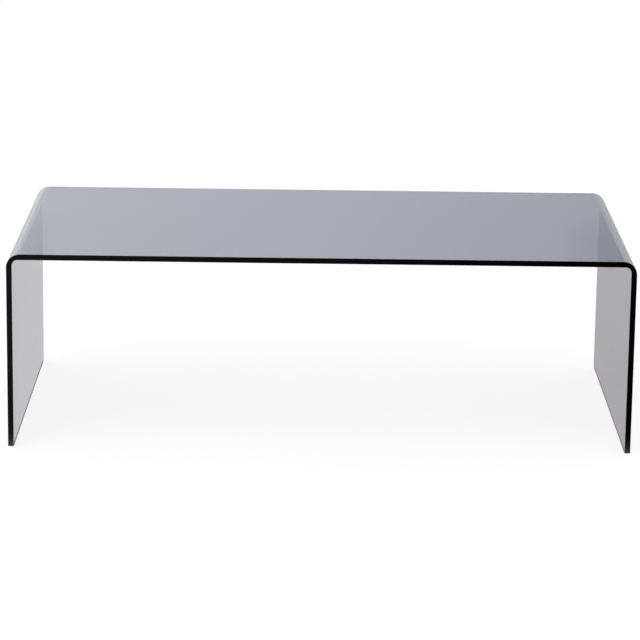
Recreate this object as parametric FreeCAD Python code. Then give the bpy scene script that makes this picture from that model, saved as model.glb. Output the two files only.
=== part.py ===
"""Waterfall coffee table: one sheet of smoked glass, hot-bent into a bridge, on four clear foot pads.

Millimetres. +X runs along the width, +Y to the rear, +Z up. The origin is on the floor, under the
middle of the top.
"""
import FreeCAD, Part
import math
import os

Vector = FreeCAD.Vector

# Overall size, with the pads on the floor
table_width = 1100.0
table_depth = 600.0
table_height = 350.0

# Glass sheet. Hot glass stretches as it sags over the mould, so the wall is thinner round the bends than
# in the flat sheet: each bend's outer and inner radii are struck from centres of their own.
glass_thickness = 10.0
bend_outer_radius = 24.0
bend_inner_radius = 10.0
foot_corner_radius = 3.0
arris_width = 0.5

# Foot pads, moulded from clear soft plastic, narrower at the floor than at the glass
pad_length = 30.0
pad_thickness = 2.0
pad_side_margin = 0.4
pad_end_inset = 20.0
pad_draft = 0.3
pad_rim_radius = 0.6

# Adhesive film, on the flat of the panel's bottom edge, between its two arrises
adhesive_thickness = 0.3
adhesive_margin = 0.4

# Sizes and places that follow from these
half_width = table_width / 2
half_depth = table_depth / 2
glass_bottom = pad_thickness + adhesive_thickness
pad_width = glass_thickness - 2 * pad_side_margin
pad_reach_x = half_width - glass_thickness / 2
pad_reach_y = half_depth - pad_end_inset - pad_length / 2
adhesive_width = glass_thickness - 2 * (arris_width + adhesive_margin)
adhesive_length = pad_length - (pad_width - adhesive_width)

# Faces that meet at more than this angle leave a sharp edge on the glass
sharp_edge_angle = math.radians(45)


def nearest_edges(solid, places):
    """The edges whose middles lie at these places, one for each."""
    found = []
    for place in places:
        found.append(min(solid.Edges, key=lambda edge: edge.CenterOfMass.distanceToPoint(place)))
    return found


def sharp_edges(solid):
    """Every edge where two faces meet at a corner, leaving out those where one runs smoothly on."""
    found = []
    for edge in solid.Edges:
        middle = edge.valueAt((edge.FirstParameter + edge.LastParameter) / 2)
        faces = solid.ancestorsOfType(edge, Part.Face)
        normals = [face.normalAt(*face.Surface.parameter(middle)) for face in faces]
        if normals[0].getAngle(normals[1]) > sharp_edge_angle:
            found.append(edge)
    return found


def sheet_blank():
    """The bridge with square bends and square edges, drawn through the whole depth."""
    inner_reach = half_width - glass_thickness
    inner_top = table_height - glass_thickness
    outline = [
        Vector(-half_width, -half_depth, glass_bottom),
        Vector(-half_width, -half_depth, table_height),
        Vector(half_width, -half_depth, table_height),
        Vector(half_width, -half_depth, glass_bottom),
        Vector(inner_reach, -half_depth, glass_bottom),
        Vector(inner_reach, -half_depth, inner_top),
        Vector(-inner_reach, -half_depth, inner_top),
        Vector(-inner_reach, -half_depth, glass_bottom),
    ]
    section = Part.Face(Part.makePolygon(outline + outline[:1]))
    return section.extrude(Vector(0, table_depth, 0))


def bent_glass_sheet():
    """The sheet as it leaves the glassworks: bent, its foot corners rounded, every edge given an arris."""
    sheet = sheet_blank()
    sides = (-1, 1)
    outer_bends = [Vector(side * half_width, 0, table_height) for side in sides]
    sheet = sheet.makeFillet(bend_outer_radius, nearest_edges(sheet, outer_bends))
    inner_reach = half_width - glass_thickness
    inner_bends = [Vector(side * inner_reach, 0, table_height - glass_thickness) for side in sides]
    sheet = sheet.makeFillet(bend_inner_radius, nearest_edges(sheet, inner_bends))
    foot_corners = [
        Vector(side * pad_reach_x, end * half_depth, glass_bottom) for side in sides for end in sides
    ]
    sheet = sheet.makeFillet(foot_corner_radius, nearest_edges(sheet, foot_corners))
    return sheet.makeChamfer(arris_width, sharp_edges(sheet))


def oblong(centre, length, width):
    """A level outline with two straight sides along Y and two round ends."""
    radius = width / 2
    run = Vector(0, length / 2 - radius, 0)
    across = Vector(radius, 0, 0)
    tip = Vector(0, length / 2, 0)
    edges = [
        Part.LineSegment(centre + across - run, centre + across + run),
        Part.Arc(centre + across + run, centre + tip, centre - across + run),
        Part.LineSegment(centre - across + run, centre - across - run),
        Part.Arc(centre - across - run, centre - tip, centre + across - run),
    ]
    return Part.Wire([edge.toShape() for edge in edges])


def foot_pad(x, y):
    """A drafted oblong block with a rounded rim round the flat that stands on the floor."""
    floor_outline = oblong(Vector(x, y, 0), pad_length - 2 * pad_draft, pad_width - 2 * pad_draft)
    glass_outline = oblong(Vector(x, y, pad_thickness), pad_length, pad_width)
    pad = Part.makeLoft([floor_outline, glass_outline], True, True)
    floor_rim = [edge for edge in pad.Edges if edge.BoundBox.ZMax < pad_thickness / 2]
    return pad.makeFillet(pad_rim_radius, floor_rim)


def pad_adhesive(x, y):
    """The film that bonds a pad to the glass."""
    outline = oblong(Vector(x, y, pad_thickness), adhesive_length, adhesive_width)
    return Part.Face(outline).extrude(Vector(0, 0, adhesive_thickness))


def table_pieces():
    """Every piece of the table by name."""
    pieces = {"bent_glass_sheet": bent_glass_sheet()}
    for end, y in (("front", -pad_reach_y), ("rear", pad_reach_y)):
        for side, x in (("left", -pad_reach_x), ("right", pad_reach_x)):
            pieces[f"{end}_{side}_foot_pad"] = foot_pad(x, y)
            pieces[f"{end}_{side}_pad_adhesive"] = pad_adhesive(x, y)
    return pieces


os.makedirs("parts", exist_ok=True)
for name, shape in table_pieces().items():
    shape.exportStep(f"parts/{name}.step")
    print(name, len(shape.Solids), "solid", "valid" if shape.isValid() else "NOT VALID", round(shape.Volume, 1))
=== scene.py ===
"""Waterfall coffee table, dressed: smoked bent glass on clear foot pads, on a white studio floor.

Metres. +X runs along the width, +Y to the rear, +Z up.
"""
import math

import bmesh
import bpy
from mathutils import Matrix, Vector


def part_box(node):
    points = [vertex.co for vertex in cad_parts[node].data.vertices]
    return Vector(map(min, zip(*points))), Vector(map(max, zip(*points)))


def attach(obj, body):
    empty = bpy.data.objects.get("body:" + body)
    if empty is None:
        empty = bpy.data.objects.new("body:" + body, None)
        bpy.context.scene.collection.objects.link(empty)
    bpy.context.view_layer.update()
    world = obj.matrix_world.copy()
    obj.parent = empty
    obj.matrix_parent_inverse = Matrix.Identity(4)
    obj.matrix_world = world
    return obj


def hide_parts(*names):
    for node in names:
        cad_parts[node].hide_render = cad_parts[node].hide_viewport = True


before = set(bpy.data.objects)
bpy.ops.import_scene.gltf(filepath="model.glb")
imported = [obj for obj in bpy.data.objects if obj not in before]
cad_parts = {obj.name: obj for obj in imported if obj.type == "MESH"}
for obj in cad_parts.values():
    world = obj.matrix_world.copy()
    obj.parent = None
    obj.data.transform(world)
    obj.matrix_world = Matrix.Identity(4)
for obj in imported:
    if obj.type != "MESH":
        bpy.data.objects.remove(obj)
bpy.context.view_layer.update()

# Glass sheet: its overall size is the frame's, and these are the sizes it is bent and ground to
SHEET = "bent_glass_sheet"
GLASS_THICKNESS = 0.010
BEND_OUTER_RADIUS = 0.024
BEND_INNER_RADIUS = 0.010
BEND_STEPS = 32
FOOT_CORNER_RADIUS = 0.003
FOOT_CORNER_STEPS = 8
ARRIS_WIDTH = 0.0005

# Foot pads, drafted towards the floor
PAD_ENDS = ("front_left", "front_right", "rear_left", "rear_right")
PAD_DRAFT = 0.0003
PAD_RIM_RADIUS = 0.0006
PAD_END_STEPS = 12
PAD_RIM_STEPS = 4

# Two faces that meet at more than this are a corner, and at less they are one smooth skin
CORNER_ANGLE = math.radians(40)
# Two points nearer than this are the same point
SAME_PLACE = 1e-5
# A face whose normal reaches this far along an axis faces that way
FACING = 0.9

# Smoked glass: two tints that drift into each other, the smoke that blackens a long path through the
# glass, and wipe marks along the width, which show only where they are strong
GLASS_TINTS = ((0.41, 0.417, 0.46, 1.0), (0.39, 0.397, 0.44, 1.0))
GLASS_DRIFT = {"Scale": 3.0, "Detail": 2.0}
GLASS_SMOKE = {"Color": (0.08, 0.11, 0.18, 1.0), "Density": 15.0}
GLASS_IOR = 1.52
WIPE_MARKS = {"Scale": 6.0, "Detail": 4.0}
WIPE_STRETCH = (1.0, 9.0, 9.0)
WIPE_START = 0.45
WIPE_RANGE = (0.0, 0.2)
WIPE_ROUGHNESS = 0.06

# Clear pads: haze in the plastic, and the grain that the mould leaves on it
PAD_TINTS = ((0.80, 0.81, 0.82, 1.0), (0.88, 0.88, 0.88, 1.0))
PAD_HAZE = {"Scale": 120.0, "Detail": 2.0}
PAD_GRAIN = {"Scale": 900.0, "Detail": 3.0}
PAD_GRAIN_RELIEF = {"Strength": 0.15, "Distance": 0.0002}
PAD_ROUGHNESS = 0.18
PAD_HAZE_ROUGHNESS = 0.16
PAD_IOR = 1.49
PAD_CLARITY = 0.9

# Adhesive film: milky patches in a clear film
FILM_TINTS = ((0.70, 0.70, 0.68, 1.0), (0.86, 0.86, 0.84, 1.0))
FILM_PATCHES = {"Scale": 350.0, "Detail": 3.0}
FILM_ROUGHNESS = 0.3
FILM_PATCH_ROUGHNESS = 0.3
FILM_IOR = 1.47
FILM_CLARITY = 0.6

# Camera, as the photograph was taken: place, turn to the left, tilt down, roll and lens
CAMERA_PLACE = Vector((-0.0268, -5.3355, 1.4891))
CAMERA_TURN = -0.00496
CAMERA_TILT = 0.24327
CAMERA_ROLL = 0.01347
CAMERA_LENS_MM = 166.87
CAMERA_FILM_MM = 36.0

# Key lamp: one large soft disk, high on the left
LAMP_PLACE = Vector((-2.2, -1.6, 3.4))
LAMP_AIM = Vector((0.0, 0.0, 0.2))
LAMP_SIZE = 2.4
LAMP_POWER = 40.0

# Studio floor, just clear of the pads. Its glow and the light on its paper add up to white, and seen
# through glass it is dimmer, most to the right.
FLOOR_SIZE = 80.0
FLOOR_DROP = 0.0002
FLOOR_GLOW = 0.85
FLOOR_PAPER = (0.16, 0.16, 0.16, 1.0)
FLOOR_DIMMER = 0.17
FLOOR_SLOPE = 0.15

# The floor as polished things mirror it: bands of light from left to right, as (share of the way, colour)
FLOOR_REACH = 1.6
FLOOR_BANDS = (
    (0.00, (0.90, 0.89, 0.90, 1.0)),
    (0.14, (1.00, 0.99, 1.00, 1.0)),
    (0.22, (0.62, 0.61, 0.62, 1.0)),
    (0.27, (0.64, 0.63, 0.64, 1.0)),
    (0.32, (0.75, 0.73, 0.75, 1.0)),
    (0.50, (0.68, 0.66, 0.67, 1.0)),
    (0.68, (0.565, 0.53, 0.56, 1.0)),
    (0.75, (0.50, 0.48, 0.49, 1.0)),
    (0.90, (0.62, 0.60, 0.61, 1.0)),
    (1.00, (0.66, 0.64, 0.65, 1.0)),
)
# In front of the table the bands are dark, darkest to the right
FRONT_EDGE = (-0.42, -0.305)
FRONT_LIGHT = 0.15
FRONT_SLOPE = 0.16
FRONT_RANGE = (0.06, 0.4)
# Behind it they are lighter in a soft strip about as wide as the table, lightest to the left
BACK_RISE = (1.0, 1.7)
BACK_FADE = (1.7, 3.4)
BACK_SIDES = (0.45, 0.6)
BACK_GAIN = 0.17
BACK_SLOPE = 0.18
BACK_RANGE = (0.0, 0.24)
# Along the foot of each panel they are shaded, most to the left
CONTACT_EDGE = (0.0055, 0.0095)
CONTACT_LIGHT = 0.15
CONTACT_SLOPE = 0.3
CONTACT_RANGE = (0.0, 0.4)

# The white surround as polished things show it: bands from left to right, and painted shade high on each side
WHITE = (1.0, 1.0, 1.0, 1.0)
SURROUND_REACH = 0.5
SURROUND_BANDS = (
    (0.00, (1.00, 1.00, 1.00, 1.0)),
    (0.25, (0.96, 0.97, 1.00, 1.0)),
    (0.27, (1.06, 1.07, 1.09, 1.0)),
    (0.295, (0.99, 1.00, 1.03, 1.0)),
    (0.32, (0.87, 0.88, 0.91, 1.0)),
    (0.35, (0.88, 0.90, 0.94, 1.0)),
    (0.40, (0.95, 0.98, 1.03, 1.0)),
    (0.415, (0.76, 0.798, 0.864, 1.0)),
    (0.50, (0.70, 0.73, 0.83, 1.0)),
    (0.60, (0.58, 0.61, 0.70, 1.0)),
    (0.72, (0.62, 0.64, 0.69, 1.0)),
    (1.00, (0.80, 0.81, 0.83, 1.0)),
)
# Painted shade on each side, seen only by polished things: where it starts and ends, how deep, and from what
# height
LEFT_SHADE = (-0.083, -0.0895)
LEFT_SHADE_DEPTH = 0.07
RIGHT_SHADE = (0.084, 0.096)
RIGHT_SHADE_DEPTH = 0.14
SHADE_HEIGHT = (0.203, 0.212)


class Wire:
    """One output of a node tree. Arithmetic on wires and numbers adds Math nodes to the tree."""

    def __init__(self, tree, socket=None):
        self.tree = tree
        self.socket = socket

    def node(self, kind, settings=None, sockets=None, out=0):
        """Adds a node, sets it up, then fills its sockets. Gives back one of its outputs."""
        made = self.tree.nodes.new(kind)
        for name, value in (settings or {}).items():
            if name == "stops":
                self.set_stops(made.color_ramp, value)
            else:
                setattr(made, name, value)
        for name, value in (sockets or {}).items():
            if isinstance(value, Wire):
                self.tree.links.new(value.socket, made.inputs[name])
            else:
                made.inputs[name].default_value = value
        return Wire(self.tree, made.outputs[out]) if len(made.outputs) else None

    @staticmethod
    def set_stops(ramp, stops):
        """Gives a ramp these (place, colour) stops, in order."""
        while len(ramp.elements) < len(stops):
            ramp.elements.new(1.0)
        for element, (place, colour) in zip(ramp.elements, stops):
            element.position = place
            element.color = colour

    def output(self, name):
        """Another output of the node that this wire comes from."""
        return Wire(self.tree, self.socket.node.outputs[name])

    def maths(self, operation, first, second):
        """One Math node."""
        return self.node("ShaderNodeMath", {"operation": operation}, {0: first, 1: second})

    def __add__(self, other):
        return self.maths("ADD", self, other)

    def __radd__(self, other):
        return self.maths("ADD", other, self)

    def __sub__(self, other):
        return self.maths("SUBTRACT", self, other)

    def __rsub__(self, other):
        return self.maths("SUBTRACT", other, self)

    def __mul__(self, other):
        return self.maths("MULTIPLY", self, other)

    def __rmul__(self, other):
        return self.maths("MULTIPLY", other, self)

    def __abs__(self):
        return self.maths("ABSOLUTE", self, 0.0)

    def clamped(self, low, high):
        """This value, held between two numbers."""
        return self.maths("MINIMUM", self.maths("MAXIMUM", self, low), high)

    def eased(self, edge, before, after):
        """Goes smoothly from one value to another, as this value crosses an edge with a start and an end."""
        sockets = {"Value": self, "From Min": edge[0], "From Max": edge[1], "To Min": before, "To Max": after}
        return self.node("ShaderNodeMapRange", {"interpolation_type": "SMOOTHSTEP"}, sockets)

    def banded(self, reach, stops):
        """Colours that run from left to right, as this value goes from minus reach to reach."""
        sockets = {"Value": self, "From Min": -reach, "From Max": reach}
        share = self.node("ShaderNodeMapRange", None, sockets)
        return self.node("ShaderNodeValToRGB", {"stops": stops}, {"Fac": share})

    def noise(self, size):
        """Soft noise over this place."""
        return self.node("ShaderNodeTexNoise", None, {"Vector": self, **size})

    def between(self, first, second):
        """A colour between two others, as this value goes from 0 to 1."""
        sockets = {"Factor": self, "A": first, "B": second}
        return self.node("ShaderNodeMix", {"data_type": "RGBA"}, sockets, "Result")

    def lit(self, light):
        """This colour, times an amount of light."""
        settings = {"data_type": "RGBA", "blend_type": "MULTIPLY"}
        return self.node("ShaderNodeMix", settings, {"Factor": 1.0, "A": self, "B": light}, "Result")


# Finishes

def new_finish(name):
    """An empty material, and a wire to build its nodes from."""
    material = bpy.data.materials.new(name)
    material.use_nodes = True
    material.node_tree.nodes.clear()
    return material, Wire(material.node_tree)


def smoked_glass():
    """Grey float glass: clear through its thickness, black along its length, with faint wipe marks."""
    material, wire = new_finish("smoked_glass")
    place = wire.node("ShaderNodeTexCoord", out="Object")
    stretched = wire.node("ShaderNodeMapping", None, {"Vector": place, "Scale": WIPE_STRETCH})
    look = {
        "Base Color": place.noise(GLASS_DRIFT).between(*GLASS_TINTS),
        "Roughness": (stretched.noise(WIPE_MARKS) - WIPE_START).clamped(*WIPE_RANGE) * WIPE_ROUGHNESS,
        "IOR": GLASS_IOR,
        "Transmission Weight": 1.0,
    }
    surface = wire.node("ShaderNodeBsdfPrincipled", None, look)
    smoke = wire.node("ShaderNodeVolumeAbsorption", None, GLASS_SMOKE)
    wire.node("ShaderNodeOutputMaterial", None, {"Surface": surface, "Volume": smoke})
    return material


def clear_pad():
    """Clear moulded soft plastic, with the fine matt grain of its mould."""
    material, wire = new_finish("clear_pad")
    place = wire.node("ShaderNodeTexCoord", out="Object")
    haze = place.noise(PAD_HAZE)
    relief = wire.node("ShaderNodeBump", None, {"Height": place.noise(PAD_GRAIN), **PAD_GRAIN_RELIEF})
    look = {
        "Base Color": haze.between(*PAD_TINTS),
        "Roughness": PAD_ROUGHNESS + haze * PAD_HAZE_ROUGHNESS,
        "IOR": PAD_IOR,
        "Transmission Weight": PAD_CLARITY,
        "Normal": relief,
    }
    surface = wire.node("ShaderNodeBsdfPrincipled", None, look)
    wire.node("ShaderNodeOutputMaterial", None, {"Surface": surface})
    return material


def adhesive_film():
    """Clear double-sided film, a little milky where the bond has not wetted out."""
    material, wire = new_finish("adhesive_film")
    patches = wire.node("ShaderNodeTexCoord", out="Object").noise(FILM_PATCHES)
    look = {
        "Base Color": patches.between(*FILM_TINTS),
        "Roughness": FILM_ROUGHNESS + patches * FILM_PATCH_ROUGHNESS,
        "IOR": FILM_IOR,
        "Transmission Weight": FILM_CLARITY,
    }
    surface = wire.node("ShaderNodeBsdfPrincipled", None, look)
    wire.node("ShaderNodeOutputMaterial", None, {"Surface": surface})
    return material


# Modelling by hand

def block(name, low, high):
    """A new block between two corners, alone in the selection, with its place in its mesh."""
    bpy.ops.object.select_all(action="DESELECT")
    bpy.ops.mesh.primitive_cube_add(size=1.0, location=(low + high) / 2, scale=high - low)
    piece = bpy.context.object
    piece.name = name
    piece.data.name = name
    bpy.ops.object.transform_apply(location=True, rotation=True, scale=True)
    return piece


def choose(piece, kind, wanted):
    """In edit mode, selects only the faces or edges that are wanted."""
    bpy.ops.mesh.select_mode(type={"faces": "FACE", "edges": "EDGE"}[kind])
    bpy.ops.mesh.select_all(action="DESELECT")
    mesh = bmesh.from_edit_mesh(piece.data)
    mesh.normal_update()
    for item in getattr(mesh, kind):
        if wanted(item):
            item.select_set(True)
    bmesh.update_edit_mesh(piece.data)


def middle(edge):
    """The point half way along an edge."""
    return (edge.verts[0].co + edge.verts[1].co) / 2


def is_corner(edge):
    """True where two faces meet at a corner."""
    return edge.is_manifold and edge.calc_face_angle() > CORNER_ANGLE


def is_upright(edge):
    """True where an edge climbs."""
    return abs(edge.verts[0].co.z - edge.verts[1].co.z) > SAME_PLACE


def bent_skin(name, low, high, radius):
    """One skin of the sheet: a top and two panels that run into it round two bends."""
    skin = block(name, low, high)
    bpy.ops.object.mode_set(mode="EDIT")

    def along_bend(edge):
        at = middle(edge)
        return abs(at.y) < SAME_PLACE and abs(at.z - high.z) < SAME_PLACE

    choose(skin, "edges", along_bend)
    bpy.ops.mesh.bevel(offset=radius, segments=BEND_STEPS, affect="EDGES")
    choose(skin, "faces", lambda face: abs(face.normal.y) > FACING or face.normal.z < -FACING)
    bpy.ops.mesh.delete(type="FACE")
    bpy.ops.object.mode_set(mode="OBJECT")
    return skin


def glass_sheet():
    """Two bent skins, joined round their outline by the ground edge."""
    low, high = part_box(SHEET)
    inward = Vector((GLASS_THICKNESS, 0, 0))
    sheet = bent_skin("smoked_glass_sheet", low, high, BEND_OUTER_RADIUS)
    underside = high - inward - Vector((0, 0, GLASS_THICKNESS))
    inner = bent_skin("inner_skin", low + inward, underside, BEND_INNER_RADIUS)
    inner.select_set(True)
    sheet.select_set(True)
    bpy.context.view_layer.objects.active = sheet
    bpy.ops.object.join()
    bpy.ops.object.mode_set(mode="EDIT")
    choose(sheet, "edges", lambda edge: edge.is_boundary)
    bpy.ops.mesh.bridge_edge_loops()
    bpy.ops.mesh.select_all(action="SELECT")
    bpy.ops.mesh.normals_make_consistent(inside=False)

    def at_foot_corner(edge):
        at = middle(edge)
        at_end = abs(abs(at.y) - high.y) < SAME_PLACE
        return at_end and abs(at.z - low.z) < SAME_PLACE

    choose(sheet, "edges", at_foot_corner)
    bpy.ops.mesh.bevel(offset=FOOT_CORNER_RADIUS, segments=FOOT_CORNER_STEPS, affect="EDGES")
    choose(sheet, "edges", is_corner)
    bpy.ops.mesh.bevel(offset=ARRIS_WIDTH, segments=1, affect="EDGES")
    bpy.ops.object.mode_set(mode="OBJECT")
    return sheet


def foot_pad(name, low, high):
    """An oblong pad with round ends, drafted sides and a rounded rim at the floor."""
    pad = block(name, low, high)
    size = high - low
    bpy.ops.object.mode_set(mode="EDIT")
    choose(pad, "edges", is_upright)
    bpy.ops.mesh.bevel(offset=size.x / 2, segments=PAD_END_STEPS, affect="EDGES")
    bpy.ops.mesh.select_all(action="SELECT")
    bpy.ops.mesh.remove_doubles(threshold=SAME_PLACE)
    choose(pad, "faces", lambda face: face.normal.z < -FACING)
    narrowed = Vector((1 - 2 * PAD_DRAFT / size.x, 1 - 2 * PAD_DRAFT / size.y, 1))
    foot = Vector(((low.x + high.x) / 2, (low.y + high.y) / 2, low.z))
    bpy.ops.transform.resize(value=narrowed, center_override=foot)
    choose(pad, "edges", lambda edge: is_corner(edge) and middle(edge).z < low.z + SAME_PLACE)
    bpy.ops.mesh.bevel(offset=PAD_RIM_RADIUS, segments=PAD_RIM_STEPS, affect="EDGES")
    bpy.ops.object.mode_set(mode="OBJECT")
    return pad


def smooth(piece):
    """Shades bends and rims round, and keeps the flats between them truly flat."""
    bpy.ops.object.select_all(action="DESELECT")
    piece.select_set(True)
    bpy.context.view_layer.objects.active = piece
    bpy.ops.object.shade_smooth_by_angle(angle=CORNER_ANGLE)
    flats = piece.modifiers.new("flats", "WEIGHTED_NORMAL")
    flats.keep_sharp = True
    bpy.ops.object.modifier_apply(modifier=flats.name)


def copied(piece, name, shift):
    """A copy of a piece with a mesh of its own, moved by a shift."""
    copy = piece.copy()
    copy.data = piece.data.copy()
    copy.name = name
    copy.data.name = name
    copy.data.transform(Matrix.Translation(shift))
    bpy.context.collection.objects.link(copy)
    return copy


def foot_pads():
    """The four pads, by the ends they stand at. One is modelled, and the others are copies of it."""
    first_end, *other_ends = PAD_ENDS
    low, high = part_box(f"{first_end}_foot_pad")
    first = foot_pad(f"{first_end}_clear_pad", low, high)
    smooth(first)
    pads = {first_end: first}
    for end in other_ends:
        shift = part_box(f"{end}_foot_pad")[0] - low
        pads[end] = copied(first, f"{end}_clear_pad", shift)
    return pads


def coat(piece, finish):
    """Gives a piece one finish all over."""
    piece.data.materials.clear()
    piece.data.materials.append(finish)


def dress(piece, finish, node):
    """Gives a piece its finish and its place in the frame."""
    coat(piece, finish)
    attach(piece, "root")
    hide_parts(node)


def table():
    """The whole table: glass, pads, and the adhesive that the frame already holds."""
    sheet = glass_sheet()
    smooth(sheet)
    dress(sheet, smoked_glass(), SHEET)
    pad_finish = clear_pad()
    film_finish = adhesive_film()
    for end, pad in foot_pads().items():
        dress(pad, pad_finish, f"{end}_foot_pad")
        coat(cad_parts[f"{end}_pad_adhesive"], film_finish)


# Studio

def mirrored_floor(wire, along, depth):
    """The floor as polished things mirror it."""
    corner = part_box(SHEET)[1]
    bands = along.banded(FLOOR_REACH, FLOOR_BANDS)
    front_light = (FRONT_LIGHT - along * FRONT_SLOPE).clamped(*FRONT_RANGE)
    front = depth.eased(FRONT_EDGE, front_light, 1.0)
    gain = (BACK_GAIN - along * BACK_SLOPE).clamped(*BACK_RANGE) * abs(along).eased(BACK_SIDES, 1.0, 0.0)
    strip = depth.eased(BACK_RISE, 0.0, 1.0) * depth.eased(BACK_FADE, 1.0, 0.0)
    back = 1 + strip * gain
    aside = abs(abs(along) - (corner.x - GLASS_THICKNESS / 2))
    beyond = abs(depth) - (corner.y - GLASS_THICKNESS / 2)
    from_panel = wire.maths("MAXIMUM", aside, beyond)
    contact_light = (CONTACT_LIGHT + along * CONTACT_SLOPE).clamped(*CONTACT_RANGE)
    contact = from_panel.eased(CONTACT_EDGE, contact_light, 1.0)
    return wire.node("ShaderNodeEmission", None, {"Color": bands.lit(front * back * contact)})


def studio_floor():
    """A wide white floor that keeps a soft shadow. It is dimmer through glass, and banded in a mirror."""
    bpy.ops.object.select_all(action="DESELECT")
    bpy.ops.mesh.primitive_plane_add(size=FLOOR_SIZE, location=(0, 0, -FLOOR_DROP))
    floor = bpy.context.object
    floor.name = "studio_floor"
    bpy.ops.object.transform_apply(location=True, rotation=True, scale=True)
    material, wire = new_finish("studio_floor")
    through_glass = wire.node("ShaderNodeLightPath", out="Is Transmission Ray")
    in_mirror = through_glass.output("Is Reflection Ray") * through_glass.output("Is Glossy Ray")
    place = wire.node("ShaderNodeTexCoord", out="Object")
    along = wire.node("ShaderNodeSeparateXYZ", None, {0: place}, "X")
    dimming = through_glass * (FLOOR_DIMMER + (along * FLOOR_SLOPE).clamped(-FLOOR_DIMMER, FLOOR_DIMMER))
    glow = wire.node("ShaderNodeEmission", None, {"Color": FLOOR_GLOW - dimming})
    paper = wire.node("ShaderNodeBsdfDiffuse", None, {"Color": FLOOR_PAPER})
    seen = wire.node("ShaderNodeAddShader", None, {0: glow, 1: paper})
    mirrored = mirrored_floor(wire, along, along.output("Y"))
    shown = wire.node("ShaderNodeMixShader", None, {0: in_mirror, 1: seen, 2: mirrored})
    wire.node("ShaderNodeOutputMaterial", None, {"Surface": shown})
    coat(floor, material)


def studio_surround():
    """White all round. Polished things show it brighter to the left than to the right."""
    world = bpy.data.worlds.new("studio_surround")
    bpy.context.scene.world = world
    world.use_nodes = True
    world.node_tree.nodes.clear()
    wire = Wire(world.node_tree)
    polished = wire.node("ShaderNodeLightPath", out="Is Glossy Ray")
    way = wire.node("ShaderNodeTexCoord", out="Generated")
    along = wire.node("ShaderNodeSeparateXYZ", None, {0: way}, "X")
    colour = polished.between(WHITE, along.banded(SURROUND_REACH, SURROUND_BANDS))
    # Painted shade: a grey patch high on each side darkens what polished things show of the surround
    sides = along.eased(LEFT_SHADE, 0.0, LEFT_SHADE_DEPTH) + along.eased(RIGHT_SHADE, 0.0, RIGHT_SHADE_DEPTH)
    painted_shade = sides * along.output("Z").eased(SHADE_HEIGHT, 0.0, 1.0)
    glow = wire.node("ShaderNodeBackground", None, {"Color": colour.lit(1 - polished * painted_shade)})
    wire.node("ShaderNodeOutputWorld", None, {"Surface": glow})


def key_lamp():
    """The lamp, aimed at the table. It lights things and is not seen in them."""
    bpy.ops.object.light_add(type="AREA", location=LAMP_PLACE)
    lamp = bpy.context.object
    lamp.name = "key_lamp"
    lamp.data.shape = "DISK"
    lamp.data.size = LAMP_SIZE
    lamp.data.energy = LAMP_POWER
    lamp.visible_glossy = False
    lamp.visible_transmission = False
    aim = LAMP_AIM - LAMP_PLACE
    lamp.rotation_euler = aim.to_track_quat("-Z", "Y").to_euler()


def camera():
    """The camera, turned, tilted and rolled as the photograph was taken."""
    data = bpy.data.cameras.new("camera")
    data.sensor_width = CAMERA_FILM_MM
    data.lens = CAMERA_LENS_MM
    made = bpy.data.objects.new("camera", data)
    bpy.context.collection.objects.link(made)
    turn = Matrix.Rotation(CAMERA_TURN, 4, "Z")
    tilt = Matrix.Rotation(math.pi / 2 - CAMERA_TILT, 4, "X")
    roll = Matrix.Rotation(CAMERA_ROLL, 4, "Z")
    made.matrix_world = Matrix.Translation(CAMERA_PLACE) @ turn @ tilt @ roll
    bpy.context.scene.camera = made


table()
studio_floor()
studio_surround()
key_lamp()
camera()
bpy.context.scene.view_settings.view_transform = "Standard"
